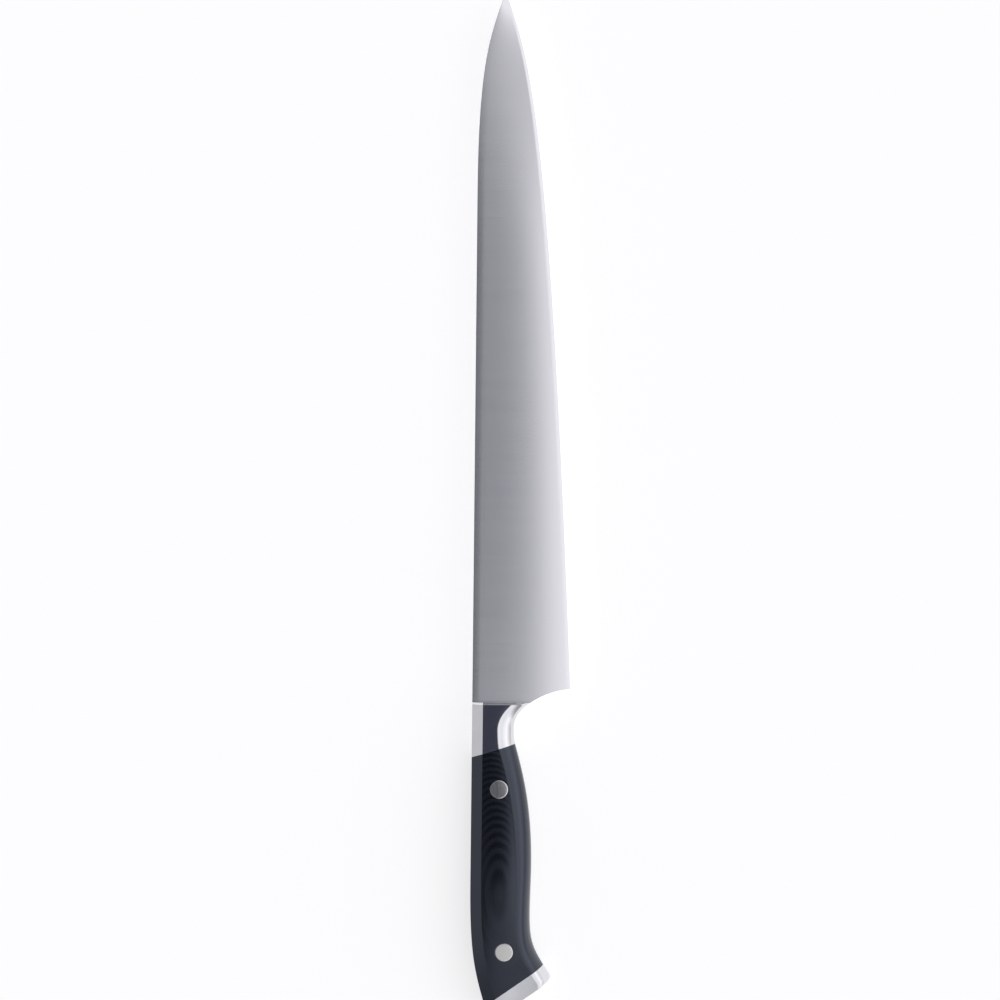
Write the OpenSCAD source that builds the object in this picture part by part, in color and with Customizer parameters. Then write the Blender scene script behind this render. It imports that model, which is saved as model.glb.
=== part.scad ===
// Carving knife, lying on its left side with its right face up.
// +X runs from the butt to the tip, +Y from the cutting edge to the spine, +Z out of the right face.
// The origin is the middle of the knife's box, on the surface that it lies on.
//
// Plan points are [x, w]: x is measured ahead of the bolster's front face and w from the spine line
// towards the cutting edge. Heights are measured from the middle plane of the blade.

/* [Blade] */
// Length of the blade from its heel corner to its tip
blade_l = 270; // [210:1:330]
// Width of the blade at the heel, from the spine to the cutting edge
blade_w = 37.9; // [32:0.1:48]
// How far the heel corner stands ahead of the bolster's front face
heel_ahead = 5.5; // [3:0.5:10]
// Thickness of the spine at the bolster
spine_t = 2.4; // [1.8:0.1:3.2]
// Thickness of the spine at the tip
tip_t = 1; // [0.6:0.1:1.6]
// Thickness of the blade just behind its cutting bevel
edge_t = 0.36; // [0.2:0.02:0.6]
// Width of the cutting bevel
bevel_w = 1; // [0.5:0.1:2]
// Width of the eased shoulder along the spine
shoulder_w = 3; // [1.5:0.5:5]
// Depth of the eased shoulder at the spine
shoulder_d = 0.12; // [0.04:0.02:0.3]
// Length over which the spine drops to the tip
point_l = 77; // [50:1:100]
// How far the tip lies below the spine line
point_drop = 10.1; // [6:0.1:14]
// Flat left on the very tip
tip_flat = 0.3; // [0.2:0.1:0.6]
// Flat left on the cutting edge
keen_t = 0.06; // [0.04:0.01:0.1]

/* [Tang and pins] */
// Thickness of the tang
tang_t = 2.5; // [1.9:0.1:3.4]
// Diameter of a hidden dowel
pin_d = 2.5; // [1.5:0.1:3]
// Length of a hidden dowel
pin_l = 7.6; // [5:0.1:8.4]

/* [Handle outline] */
// Length of the handle along the spine, from the bolster's front face to the butt
handle_l = 123.4; // [105:0.1:145]
// Width of the handle at its waist, on the bolster
neck_w = 16.3; // [14:0.1:19]
// How far the waist lies behind the bolster's front face
neck_back = 9.4; // [7:0.1:12]
// Width of the handle at the belly end of the bolster's seam
seam_w = 16.75; // [14.5:0.05:19.5]
// Width of the handle at its swell
swell_w = 23.4; // [20:0.1:28]
// How far the swell lies behind the bolster's front face
swell_back = 69.8; // [60:0.1:76]
// How far the handle's thickest place lies behind the bolster's front face
crest_back = 73; // [60:0.5:80]
// How far the corner of the hook lies below the spine line
hook_w = 31.9; // [28:0.1:37]
// How far behind the bolster's front face the spine begins to drop
bend_back = 70.5; // [55:0.5:80]
// Drop of the spine at the butt
butt_drop = 7.7; // [4:0.1:10]
// Lean of the butt from a square end, in degrees
butt_lean = 35; // [20:1:42]
// Length of the hook's eased corner, along each side
hook_ease = 1.9; // [0.8:0.1:3]
// Length of the eased corner between the spine and the butt, along each side
heel_ease = 1.6; // [0.8:0.1:3]

/* [Handle section] */
// Half thickness of the handle at the bolster's front face
front_h = 5.6; // [5:0.1:6.6]
// Half thickness of the handle at its thickest place
swell_h = 8.6; // [7.4:0.1:10]
// Half thickness of the handle at the butt
butt_h = 8; // [7:0.1:9.4]
// Width of the flat facet along the spine, seen from the side
facet_w = 4.15; // [3:0.05:5]
// Depth of that facet, from the side face down to the spine face
facet_d = 3; // [2:0.1:3.6]
// Width of the belly's rounding on the bolster
round_front_w = 7; // [5:0.1:8]
// Width of the belly's rounding at the thickest place
round_swell_w = 6.4; // [5:0.1:9]
// Width of the belly's rounding at the butt
round_butt_w = 4.4; // [3:0.1:6]
// Radius of the side face's crown across the handle, as far back as the thickest place
crown_r = 130; // [90:5:300]

/* [Bolster and butt cap] */
// Length of the bolster along the spine
bolster_l = 21.1; // [18:0.1:25]
// Length of the bolster along the belly
bolster_belly_l = 15.8; // [14.4:0.1:20]
// Bevel on the bolster's front edge
front_bevel = 0.9; // [0.4:0.1:1.3]
// Thickness of the butt cap, square to the butt
cap_t = 6.2; // [5:0.1:8]

/* [Rivets] */
// Diameter of a rivet's head
head_d = 6.95; // [6:0.05:8]
// Height at which a rivet's head is seated, above the tang's middle plane
head_seat = 3.6; // [2.8:0.1:4.4]
// Outside diameter of a rivet's sleeve
sleeve_d = 4.5; // [4:0.1:5.4]
// Diameter of a rivet's stud
stud_d = 3; // [2:0.1:3.4]
// Depth of a sleeve's bore inside its head
sleeve_sink = 1.2; // [0.6:0.1:2]
// How far the front rivet lies behind the bolster's seam, measured at the spine
front_rivet_gap = 12.15; // [9:0.05:18]
// How far the front rivet lies below the spine line
front_rivet_w = 10.7; // [9:0.1:12]
// How far the rear rivet lies ahead of the cap's seam, measured at the spine
rear_rivet_gap = 21.1; // [16:0.1:28]
// How far the rear rivet lies below the spine line
rear_rivet_w = 13.2; // [11:0.1:15]

/* [Fits] */
// Clearance round a rivet and round a dowel, on the radius
fit_gap = 0.02; // [0.01:0.01:0.06]
// Room at the end of a stud, a sleeve or a dowel
end_gap = 0.1; // [0.05:0.05:0.3]

/* [Hidden] */
$fn = 64;

// Rows along each piece and columns across its surface
BLADE_ROWS = 46;
CHOIL_ROWS = 10;
SHOULDER_COLUMNS = 3;
FLAT_COLUMNS = 9;
BOLSTER_ROWS = 14;
SCALE_ROWS = 40;
CAP_ROWS = 3;
EASE_ROWS = 5;
CROWN_COLUMNS = 5;
ROUND_COLUMNS = 9;

// How much closer the blade's rows stand towards the tip
ROW_CROWDING = 1.5;
// Steps in which a curve's parameter is halved down to the wanted x
SOLVE_STEPS = 22;

tang_h = tang_t / 2;
tip_x = heel_ahead + blade_l;
lean = tan(butt_lean);
// Stub of the blade that reaches into the tang, and how far it stays inside the tang's outline
stub_l = 2;
stub_inset = 0.4;

function mix(a, b, t) = a + (b - a) * t;
function clamp01(t) = max(0, min(1, t));
function cubic(c, t) =
    pow(1 - t, 3) * c[0] + 3 * pow(1 - t, 2) * t * c[1] + 3 * (1 - t) * t * t * c[2] + pow(t, 3) * c[3];
function quadratic(a, b, c, t) = pow(1 - t, 2) * a + 2 * (1 - t) * t * b + t * t * c;

// The w of a curve at a given x, where x runs one way along the curve
function t_at(c, x, lo = 0, hi = 1, steps = SOLVE_STEPS) =
    let (mid = (lo + hi) / 2, past = (cubic(c, mid)[0] - x) * (c[3][0] - c[0][0]) > 0)
    steps == 0 ? mid : past ? t_at(c, x, lo, mid, steps - 1) : t_at(c, x, mid, hi, steps - 1);
function w_at(c, x) = cubic(c, t_at(c, x))[1];

// Curves are given by their ends, the slopes there and the share of their span that each slope reaches
function curve(a, slope_a, reach_a, b, slope_b, reach_b) =
    let (span = b[0] - a[0])
    [a, a + span * reach_a * [1, slope_a], b - span * reach_b * [1, slope_b], b];

// Blade outline: the spine drops to the tip, the edge rises to it, and the choil sweeps up from the heel
SPINE_REACH = 0.685;
SPINE_TIP_SLOPE = 0.308;
SPINE_TIP_REACH = 0.21;
EDGE_HEEL_SLOPE = -0.045;
EDGE_HEEL_REACH = 0.85;
EDGE_TIP_SLOPE = -0.353;
EDGE_TIP_REACH = 0.093;
spine_start = [tip_x - point_l, 0];
spine_end = [tip_x, point_drop - tip_flat / 2];
edge_start = [heel_ahead, blade_w];
edge_end = [tip_x, point_drop + tip_flat / 2];
spine_c = curve(spine_start, 0, SPINE_REACH, spine_end, SPINE_TIP_SLOPE, SPINE_TIP_REACH);
edge_c = curve(edge_start, EDGE_HEEL_SLOPE, EDGE_HEEL_REACH, edge_end, EDGE_TIP_SLOPE, EDGE_TIP_REACH);

// The choil leaves the heel almost square to the edge and comes in level with the waist
CHOIL_LEAN = 0.8;
CHOIL_CARRY = 0.53;
CHOIL_SWEEP = 0.22;
choil_c = [
    edge_start,
    [heel_ahead - CHOIL_LEAN, mix(neck_w, blade_w, CHOIL_CARRY)],
    [-neck_back * CHOIL_SWEEP, neck_w],
    [-neck_back, neck_w]
];
function spine_w(x) = x <= tip_x - point_l ? 0 : w_at(spine_c, x);
function edge_w(x) = x <= heel_ahead ? blade_w + EDGE_HEEL_SLOPE * (x - heel_ahead) : w_at(edge_c, x);

// Handle outline: the belly swells and hooks down to the butt, and the spine drops behind the palm
NECK_REACH = 0.35;
SEAM_SLOPE = -0.288;
SEAM_REACH_AHEAD = 0.2;
SEAM_REACH_BEHIND = 0.25;
SWELL_SLOPE = 0.033;
SWELL_REACH_AHEAD = 0.485;
SWELL_REACH_BEHIND = 0.66;
HOOK_SLOPE = -0.64;
HOOK_REACH = 0.37;
BEND_REACH = 0.59;
BUTT_SLOPE = -0.272;
BUTT_REACH = 0.33;
butt_x = -handle_l;
function butt_line_x(w) = butt_x + (w - butt_drop) * lean;
hook = [butt_line_x(hook_w), hook_w];
seam_end = [-bolster_belly_l, seam_w];
swell = [-swell_back, swell_w];
neck_c = curve([-neck_back, neck_w], 0, NECK_REACH, seam_end, SEAM_SLOPE, SEAM_REACH_AHEAD);
palm_c = curve(seam_end, SEAM_SLOPE, SEAM_REACH_BEHIND, swell, SWELL_SLOPE, SWELL_REACH_AHEAD);
hook_c = curve(swell, SWELL_SLOPE, SWELL_REACH_BEHIND, hook, HOOK_SLOPE, HOOK_REACH);
back_c = curve([-bend_back, 0], 0, BEND_REACH, [butt_x, butt_drop], BUTT_SLOPE, BUTT_REACH);
function back_w(x) = x >= -bend_back ? 0 : w_at(back_c, x);
function belly_w(x) =
    x >= -neck_back ? w_at(choil_c, x) : x >= -bolster_belly_l ? w_at(neck_c, x)
    : x >= -swell_back ? w_at(palm_c, x) : w_at(hook_c, x);

// Where the cap's seam, parallel to the butt, meets the spine and the belly
function seam_x(w) = butt_line_x(w) + cap_t / cos(butt_lean);
function meet(lo, hi, belly, steps = SOLVE_STEPS) =
    let (mid = (lo + hi) / 2, w = belly ? belly_w(mid) : back_w(mid))
    steps == 0 ? mid : seam_x(w) > mid ? meet(mid, hi, belly, steps - 1) : meet(lo, mid, belly, steps - 1);
cap_spine_x = meet(butt_x, -bend_back, false);
cap_belly_x = meet(hook[0], -swell_back, true);

// Half thickness along the handle, the crown of its side and the width of its belly's rounding
FLANK_RISE = 0.47;
function ahead_of_crest(x) = clamp01(-x / crest_back);
function behind_crest(x) = clamp01((-x - crest_back) / (handle_l - crest_back));
function side_h(x) =
    x > -crest_back
    ? cubic([front_h, mix(front_h, swell_h, FLANK_RISE), swell_h, swell_h], ahead_of_crest(x))
    : cubic([swell_h, swell_h, butt_h, butt_h], behind_crest(x));
function crown(x, flat) = flat * flat / 8 / crown_r * (1 - behind_crest(x));
function round_w(x) =
    x > -crest_back ? mix(round_front_w, round_swell_w, ahead_of_crest(x))
    : mix(round_swell_w, round_butt_w, behind_crest(x));

// The belly's rounding is an ellipse's quarter as far as the thickest place, and closes in on a facet
// behind it
ELLIPSE_POWER = 2;
FACET_POWER = 1.35;
function round_power(x) = mix(ELLIPSE_POWER, FACET_POWER, behind_crest(x));

// Stations run across the handle from the spine to the belly: [spine point, belly point, bevel]
function on_spine(x) = [x, back_w(x)];
function on_belly(x) = [x, belly_w(x)];
bolster_stations = concat(
    [[on_spine(0), on_belly(0), front_bevel]],
    [for (i = [0 : BOLSTER_ROWS])
        let (s = mix(front_bevel / bolster_l, 1, i / BOLSTER_ROWS))
        [on_spine(-bolster_l * s), on_belly(-bolster_belly_l * s), 0]]
);
scale_stations = [for (i = [0 : SCALE_ROWS])
    let (s = i / SCALE_ROWS)
    [on_spine(mix(-bolster_l, cap_spine_x, s)), on_belly(mix(-bolster_belly_l, cap_belly_x, s)), 0]];

// The cap's last stations follow its two eased corners round to the butt
butt_dir = [lean, 1] / norm([lean, 1]);
spine_turn_x = butt_x + heel_ease;
belly_turn_x = hook[0] + hook_ease * cos(atan(HOOK_SLOPE));
cap_stations = concat(
    [for (i = [0 : CAP_ROWS])
        let (s = i / CAP_ROWS)
        [on_spine(mix(cap_spine_x, spine_turn_x, s)), on_belly(mix(cap_belly_x, belly_turn_x, s)), 0]],
    [for (i = [1 : EASE_ROWS])
        let (s = i / EASE_ROWS)
        [quadratic(on_spine(spine_turn_x), [butt_x, butt_drop], [butt_x, butt_drop] + heel_ease * butt_dir, s),
            quadratic(on_belly(belly_turn_x), hook, hook - hook_ease * butt_dir, s), 0]]
);

// One station's section above the tang: up the spine face, down the facet, over the crowned side
// and round the belly
SPINE_FACE_MIN = 0.3;
function section(station) =
    let (
        a = station[0],
        b = station[1],
        bevel = station[2],
        middle_x = (a[0] + b[0]) / 2,
        facet_q = facet_w / (b[1] - a[1]),
        round_q = 1 - round_w(middle_x) / norm(b - a),
        dome = crown(middle_x, (round_q - facet_q) * norm(b - a)),
        bend = 2 / round_power(middle_x),
        low = tang_h,
        spine_z = max(side_h(a[0]) - facet_d - bevel, low + SPINE_FACE_MIN)
    )
    concat(
        [[a[0], -a[1], low], [a[0], -a[1], spine_z]],
        [for (i = [0 : CROWN_COLUMNS - 1])
            let (
                s = i / (CROWN_COLUMNS - 1),
                p = mix(a, b, mix(facet_q, round_q, s)),
                z = side_h(p[0]) - bevel - dome * pow(2 * s - 1, 2)
            )
            [p[0], -p[1], z]],
        [for (i = [1 : ROUND_COLUMNS])
            let (
                turn = 90 * i / ROUND_COLUMNS,
                p = mix(a, b, mix(round_q, 1, pow(sin(turn), bend))),
                z = mix(low, side_h(p[0]) - bevel - dome, pow(cos(turn), bend))
            )
            [p[0], -p[1], z]]
    );

// A solid through closed rings of equally many points
function ring_faces(rings, points) = concat(
    [for (i = [0 : rings - 2])
        for (j = [0 : points - 1])
            for (half = [0, 1])
                let (a = i * points + j, b = i * points + (j + 1) % points, c = a + points, d = b + points)
                half == 0 ? [a, d, b] : [a, c, d]],
    [[for (j = [0 : points - 1]) j]],
    [[for (j = [points - 1 : -1 : 0]) (rings - 1) * points + j]]
);
module through_rings(rings) {
    polyhedron(
        points = [for (ring = rings) for (p = ring) p],
        faces = ring_faces(len(rings), len(rings[0])),
        convexity = 6
    );
}

// The stations run backwards, so their rings are taken from the last one forwards
module handle_half(stations) {
    through_rings([for (i = [len(stations) - 1 : -1 : 0]) section(stations[i])]);
}

module other_side() {
    mirror([0, 0, 1])
        children();
}

// Half thickness of the blade at a plan point: a convex grind from the spine to the cutting bevel,
// less the eased shoulder at the spine. Towards the tip the grind turns flat and the shoulder runs out
GRIND_POWER = 3.4;
FLAT_GRIND_POWER = 1.3;
FLAT_FROM = 0.6;
FLAT_TO = 0.93;
BEVEL_SHARE = 0.3;
TIP_SLIMNESS = 0.12;
EDGE_SHARE = 0.6;
DIP_SHARE = 0.2;
function flatness(x) =
    let (t = clamp01((x / tip_x - FLAT_FROM) / (FLAT_TO - FLAT_FROM)))
    t * t * (3 - 2 * t);
function blade_h(x, w) =
    let (
        s = spine_w(x),
        e = edge_w(x),
        flat = flatness(x),
        bevel = min(bevel_w, (e - s) * BEVEL_SHARE),
        top = min(mix(spine_t, tip_t, x / tip_x) / 2, keen_t + (e - s) * TIP_SLIMNESS),
        low = min(edge_t / 2, top * EDGE_SHARE),
        u = clamp01((w - s) / (e - bevel - s)),
        ease = min(shoulder_w, (e - s) * BEVEL_SHARE),
        dip = min(shoulder_d, top * DIP_SHARE) * (1 - flat) * pow(1 - clamp01((w - s) / ease), 2)
    )
    w > e - bevel
    ? mix(low, keen_t / 2, clamp01((w - e + bevel) / bevel))
    : mix(top, low, pow(u, mix(GRIND_POWER, FLAT_GRIND_POWER, flat))) - dip;

// Shares of the blade's width at which its columns stand
function blade_columns(x, width) =
    let (
        ease = min(shoulder_w, width * BEVEL_SHARE) / width,
        bevel = 1 - min(bevel_w, width * BEVEL_SHARE) / width
    )
    concat(
        [for (i = [0 : SHOULDER_COLUMNS - 1]) ease * i / SHOULDER_COLUMNS],
        [for (i = [0 : FLAT_COLUMNS]) mix(ease, bevel, i / FLAT_COLUMNS)],
        [1]
    );
function blade_ring(a, b) =
    let (
        shares = blade_columns(a[0], b[1] - a[1]),
        plan = [for (q = shares) mix(a, b, q)],
        last = len(shares) - 1
    )
    concat(
        [for (p = plan) [p[0], -p[1], blade_h(p[0], p[1])]],
        [for (i = [last : -1 : 0]) let (p = plan[i]) [p[0], -p[1], -blade_h(p[0], p[1])]]
    );

module blade_body() {
    choil_end = t_at(choil_c, 0);
    stub = blade_ring([-stub_l, stub_inset], [-stub_l, belly_w(-stub_l) - stub_inset]);
    root = blade_ring([0, 0], [0, belly_w(0)]);
    choil = [for (i = [1 : CHOIL_ROWS - 1])
        let (s = i / CHOIL_ROWS)
        blade_ring([heel_ahead * s, 0], cubic(choil_c, choil_end * (1 - s)))];
    rest = [for (i = [0 : BLADE_ROWS])
        let (x = mix(heel_ahead, tip_x, 1 - pow(1 - i / BLADE_ROWS, ROW_CROWDING)))
        blade_ring([x, spine_w(x)], [x, edge_w(x)])];
    through_rings(concat([stub, root], choil, rest));
}

// The tang fills the handle's outline from the bolster's front face to the butt
all_stations = concat(bolster_stations, scale_stations, cap_stations);
function side_of(stations, which) = [for (s = stations) s[which]];
function distinct(points) = [for (i = [0 : len(points) - 1])
    if (i == 0 || norm(points[i] - points[max(i - 1, 0)]) > 0.001) points[i]];
function reversed(points) = [for (i = [len(points) - 1 : -1 : 0]) points[i]];
module tang_plate() {
    outline = concat(distinct(side_of(all_stations, 0)), reversed(distinct(side_of(all_stations, 1))));
    translate([0, 0, -tang_h])
        linear_extrude(tang_t)
            polygon([for (p = outline) [p[0], -p[1]]]);
}

// Places of the rivets and dowels. The dowels' shares are of the bolster's length and of the cap's width
BOLSTER_PIN_SHARES = [0.28, 0.7];
CAP_PIN_SHARES = [0.3, 0.66];
front_rivet_at = [-bolster_l - front_rivet_gap, front_rivet_w];
rear_rivet_at = [cap_spine_x + rear_rivet_gap, rear_rivet_w];
bolster_pins_at = [for (s = BOLSTER_PIN_SHARES)
    (on_spine(-bolster_l * s) + on_belly(-bolster_belly_l * s)) / 2];
cap_w = back_w(cap_spine_x);
cap_middle = [(cap_spine_x + butt_line_x(cap_w)) / 2, cap_w];
cap_pins_at = [for (q = CAP_PIN_SHARES) cap_middle + (hook_w - cap_w) * q * [lean, 1]];

module at(place) {
    translate([place[0], -place[1], 0])
        children();
}

module bar(d, from, to) {
    translate([0, 0, from])
        cylinder(d = d, h = to - from);
}

// Holes are cut past the surfaces that they open on
BREAKOUT = 1;
module dowel_holes(places) {
    for (place = places)
        at(place)
            bar(pin_d + 2 * fit_gap, -pin_l / 2 - end_gap, pin_l / 2 + end_gap);
}

module dowels(places) {
    for (place = places)
        at(place)
            bar(pin_d, -pin_l / 2, pin_l / 2);
}

module rivet_hole(place) {
    at(place) {
        bar(sleeve_d + 2 * fit_gap, -head_seat - BREAKOUT, head_seat + BREAKOUT);
        bar(head_d + 2 * fit_gap, head_seat, swell_h + BREAKOUT);
        bar(head_d + 2 * fit_gap, -swell_h - BREAKOUT, -head_seat);
    }
}

// A rivet's head is ground flush with the scale round it
module rivet_head(place) {
    intersection() {
        handle_half(scale_stations);
        at(place)
            bar(head_d, head_seat, swell_h + BREAKOUT);
    }
}

module rivet_stud(place) {
    color([0.79, 0.78, 0.75]) {
        rivet_head(place);
        at(place)
            bar(stud_d, -head_seat - sleeve_sink + end_gap, head_seat);
    }
}

module rivet_sleeve(place) {
    color([0.79, 0.78, 0.75])
        difference() {
            union() {
                other_side()
                    rivet_head(place);
                at(place)
                    bar(sleeve_d, -head_seat, head_seat - end_gap);
            }
            at(place)
                bar(stud_d + 2 * fit_gap, -head_seat - sleeve_sink, head_seat + BREAKOUT);
        }
}

// Moves the knife from its drawing place, with the blade's middle plane at height 0, onto the origin
box_back = min([for (s = cap_stations) s[0][0]]);
box_w = max(blade_w, hook_w);
module place_knife() {
    translate([-(box_back + tip_x) / 2, box_w / 2, max(swell_h, butt_h)])
        children();
}

module blade() {
    color([0.72, 0.73, 0.76])
        place_knife()
            difference() {
                union() {
                    blade_body();
                    tang_plate();
                }
                dowel_holes(concat(bolster_pins_at, cap_pins_at));
                rivet_hole(front_rivet_at);
                rivet_hole(rear_rivet_at);
            }
}

module bolster_half() {
    color([0.82, 0.82, 0.84])
        difference() {
            handle_half(bolster_stations);
            dowel_holes(bolster_pins_at);
        }
}

module bolster_right() {
    place_knife()
        bolster_half();
}

module bolster_left() {
    place_knife()
        other_side()
            bolster_half();
}

module bolster_pins() {
    color([0.66, 0.67, 0.7])
        place_knife()
            dowels(bolster_pins_at);
}

module scale_half() {
    color([0.13, 0.14, 0.17])
        difference() {
            handle_half(scale_stations);
            rivet_hole(front_rivet_at);
            rivet_hole(rear_rivet_at);
        }
}

module scale_right() {
    place_knife()
        scale_half();
}

module scale_left() {
    place_knife()
        other_side()
            scale_half();
}

module front_rivet_stud() {
    place_knife()
        rivet_stud(front_rivet_at);
}

module front_rivet_sleeve() {
    place_knife()
        rivet_sleeve(front_rivet_at);
}

module rear_rivet_stud() {
    place_knife()
        rivet_stud(rear_rivet_at);
}

module rear_rivet_sleeve() {
    place_knife()
        rivet_sleeve(rear_rivet_at);
}

module cap_half() {
    color([0.82, 0.82, 0.84])
        difference() {
            handle_half(cap_stations);
            dowel_holes(cap_pins_at);
        }
}

module butt_cap_right() {
    place_knife()
        cap_half();
}

module butt_cap_left() {
    place_knife()
        other_side()
            cap_half();
}

module butt_cap_pins() {
    color([0.66, 0.67, 0.7])
        place_knife()
            dowels(cap_pins_at);
}

blade();
bolster_right();
bolster_left();
bolster_pins();
scale_right();
scale_left();
front_rivet_stud();
front_rivet_sleeve();
rear_rivet_stud();
rear_rivet_sleeve();
butt_cap_right();
butt_cap_left();
butt_cap_pins();
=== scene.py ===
"""Looks of the carving knife: smooth steel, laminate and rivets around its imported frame.

Plan places are in millimetres on the knife's own lines: x runs ahead of the bolster's front face
and w runs down from the spine line towards the cutting edge. Heights z are measured from the
middle plane of the blade. KnifePlan.place turns them into the frame's metres.
"""

import logging
from dataclasses import dataclass
from enum import Enum
from functools import cached_property
from math import atan, cos, hypot, pi, radians, tan
from typing import ClassVar

import bpy
import numpy as np
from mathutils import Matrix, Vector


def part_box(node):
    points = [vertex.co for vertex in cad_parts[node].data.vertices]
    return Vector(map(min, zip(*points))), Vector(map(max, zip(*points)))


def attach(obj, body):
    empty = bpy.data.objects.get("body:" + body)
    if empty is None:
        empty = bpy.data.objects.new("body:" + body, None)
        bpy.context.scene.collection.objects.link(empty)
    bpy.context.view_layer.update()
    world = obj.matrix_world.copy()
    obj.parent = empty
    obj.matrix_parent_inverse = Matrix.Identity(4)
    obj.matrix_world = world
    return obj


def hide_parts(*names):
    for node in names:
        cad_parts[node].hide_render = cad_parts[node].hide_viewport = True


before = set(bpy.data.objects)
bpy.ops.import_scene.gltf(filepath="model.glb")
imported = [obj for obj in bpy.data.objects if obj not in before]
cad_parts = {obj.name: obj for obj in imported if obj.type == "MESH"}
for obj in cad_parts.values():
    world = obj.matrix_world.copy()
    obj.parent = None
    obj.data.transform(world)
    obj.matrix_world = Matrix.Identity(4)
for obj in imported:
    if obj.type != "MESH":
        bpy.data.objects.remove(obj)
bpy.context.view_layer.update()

log = logging.getLogger("carving knife")

Array = np.ndarray
Point = tuple[float, float]
Colour = tuple[float, float, float, float]
Profile = list[tuple[float, float, bool]]
Socket = bpy.types.NodeSocket
Value = float | tuple[float, ...] | Socket
Inputs = dict[str | int, Value]

MM = 0.001
BODY = "root"
CURVE_SAMPLES = 4001
SHARP_ANGLE = radians(18)
SAME_PLACE = 1e-6


class Side(Enum):
    """Which side of the blade's middle plane a piece lies on."""

    RIGHT = 1
    LEFT = -1

    @property
    def word(self) -> str:
        """The side's name as the nodes spell it."""
        return self.name.lower()


class Slot(Enum):
    """Material slots of the record; the visible pieces built here don't take them."""

    SATIN = "satin_steel"
    POLISHED = "polished_steel"
    LAMINATE = "laminate"
    RIVET = "rivet_metal"


def mix(a: Array | float, b: Array | float, t: Array | float) -> Array | float:
    """Goes from a to b as t goes from 0 to 1."""
    return a + (b - a) * t


def clamp01(t: Array | float) -> Array | float:
    """Keeps t from 0 to 1."""
    return np.clip(t, 0.0, 1.0)


def cubic(handles: Array, t: Array) -> Array:
    """Cubic Bezier by Bernstein's weights.

    Args:
        handles: four points or four numbers, first axis 4.
        t: shares along the curve.

    Returns:
        One value per t, with the handles' own last axis.
    """
    t = np.asarray(t, float)
    weights = np.stack([(1 - t) ** 3, 3 * (1 - t) ** 2 * t, 3 * (1 - t) * t**2, t**3], axis=-1)
    return weights @ np.asarray(handles, float)


def eased_corner(start: Array, corner: Array, end: Array, rows: int) -> Array:
    """Quadratic Bezier round a corner, without its first point.

    Args:
        start: where the corner begins.
        corner: the sharp corner itself.
        end: where the corner ends.
        rows: how many points it gets.

    Returns:
        The points, rows by 2.
    """
    t = np.linspace(0, 1, rows + 1)[1:, None]
    return (1 - t) ** 2 * start + 2 * (1 - t) * t * corner + t**2 * end


@dataclass(frozen=True)
class PlanCurve:
    """A cubic in plan, which x runs along in one direction.

    Attributes:
        handles: its four Bezier points.
    """

    handles: tuple[Point, Point, Point, Point]

    @classmethod
    def sloped(cls, start: Point, slope: float, reach: float, end: Point, end_slope: float,
               end_reach: float) -> "PlanCurve":
        """A curve by its ends, the slopes there and the share of its span that each slope reaches.

        Args:
            start: first point.
            slope: slope of w over x at the first point.
            reach: share of the span that it carries over.
            end: last point.
            end_slope: slope at the last point.
            end_reach: share of the span that it carries over.

        Returns:
            The curve.
        """
        span = end[0] - start[0]
        near = (start[0] + span * reach, start[1] + span * reach * slope)
        far = (end[0] - span * end_reach, end[1] - span * end_reach * end_slope)
        return cls((start, near, far, end))

    @cached_property
    def points(self) -> Array:
        """Close points along the curve, with x rising."""
        points = cubic(self.handles, np.linspace(0, 1, CURVE_SAMPLES))
        return points[np.argsort(points[:, 0])]

    def w(self, x: Array | float) -> Array:
        """The curve's w at x."""
        return np.interp(x, self.points[:, 0], self.points[:, 1])


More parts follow.
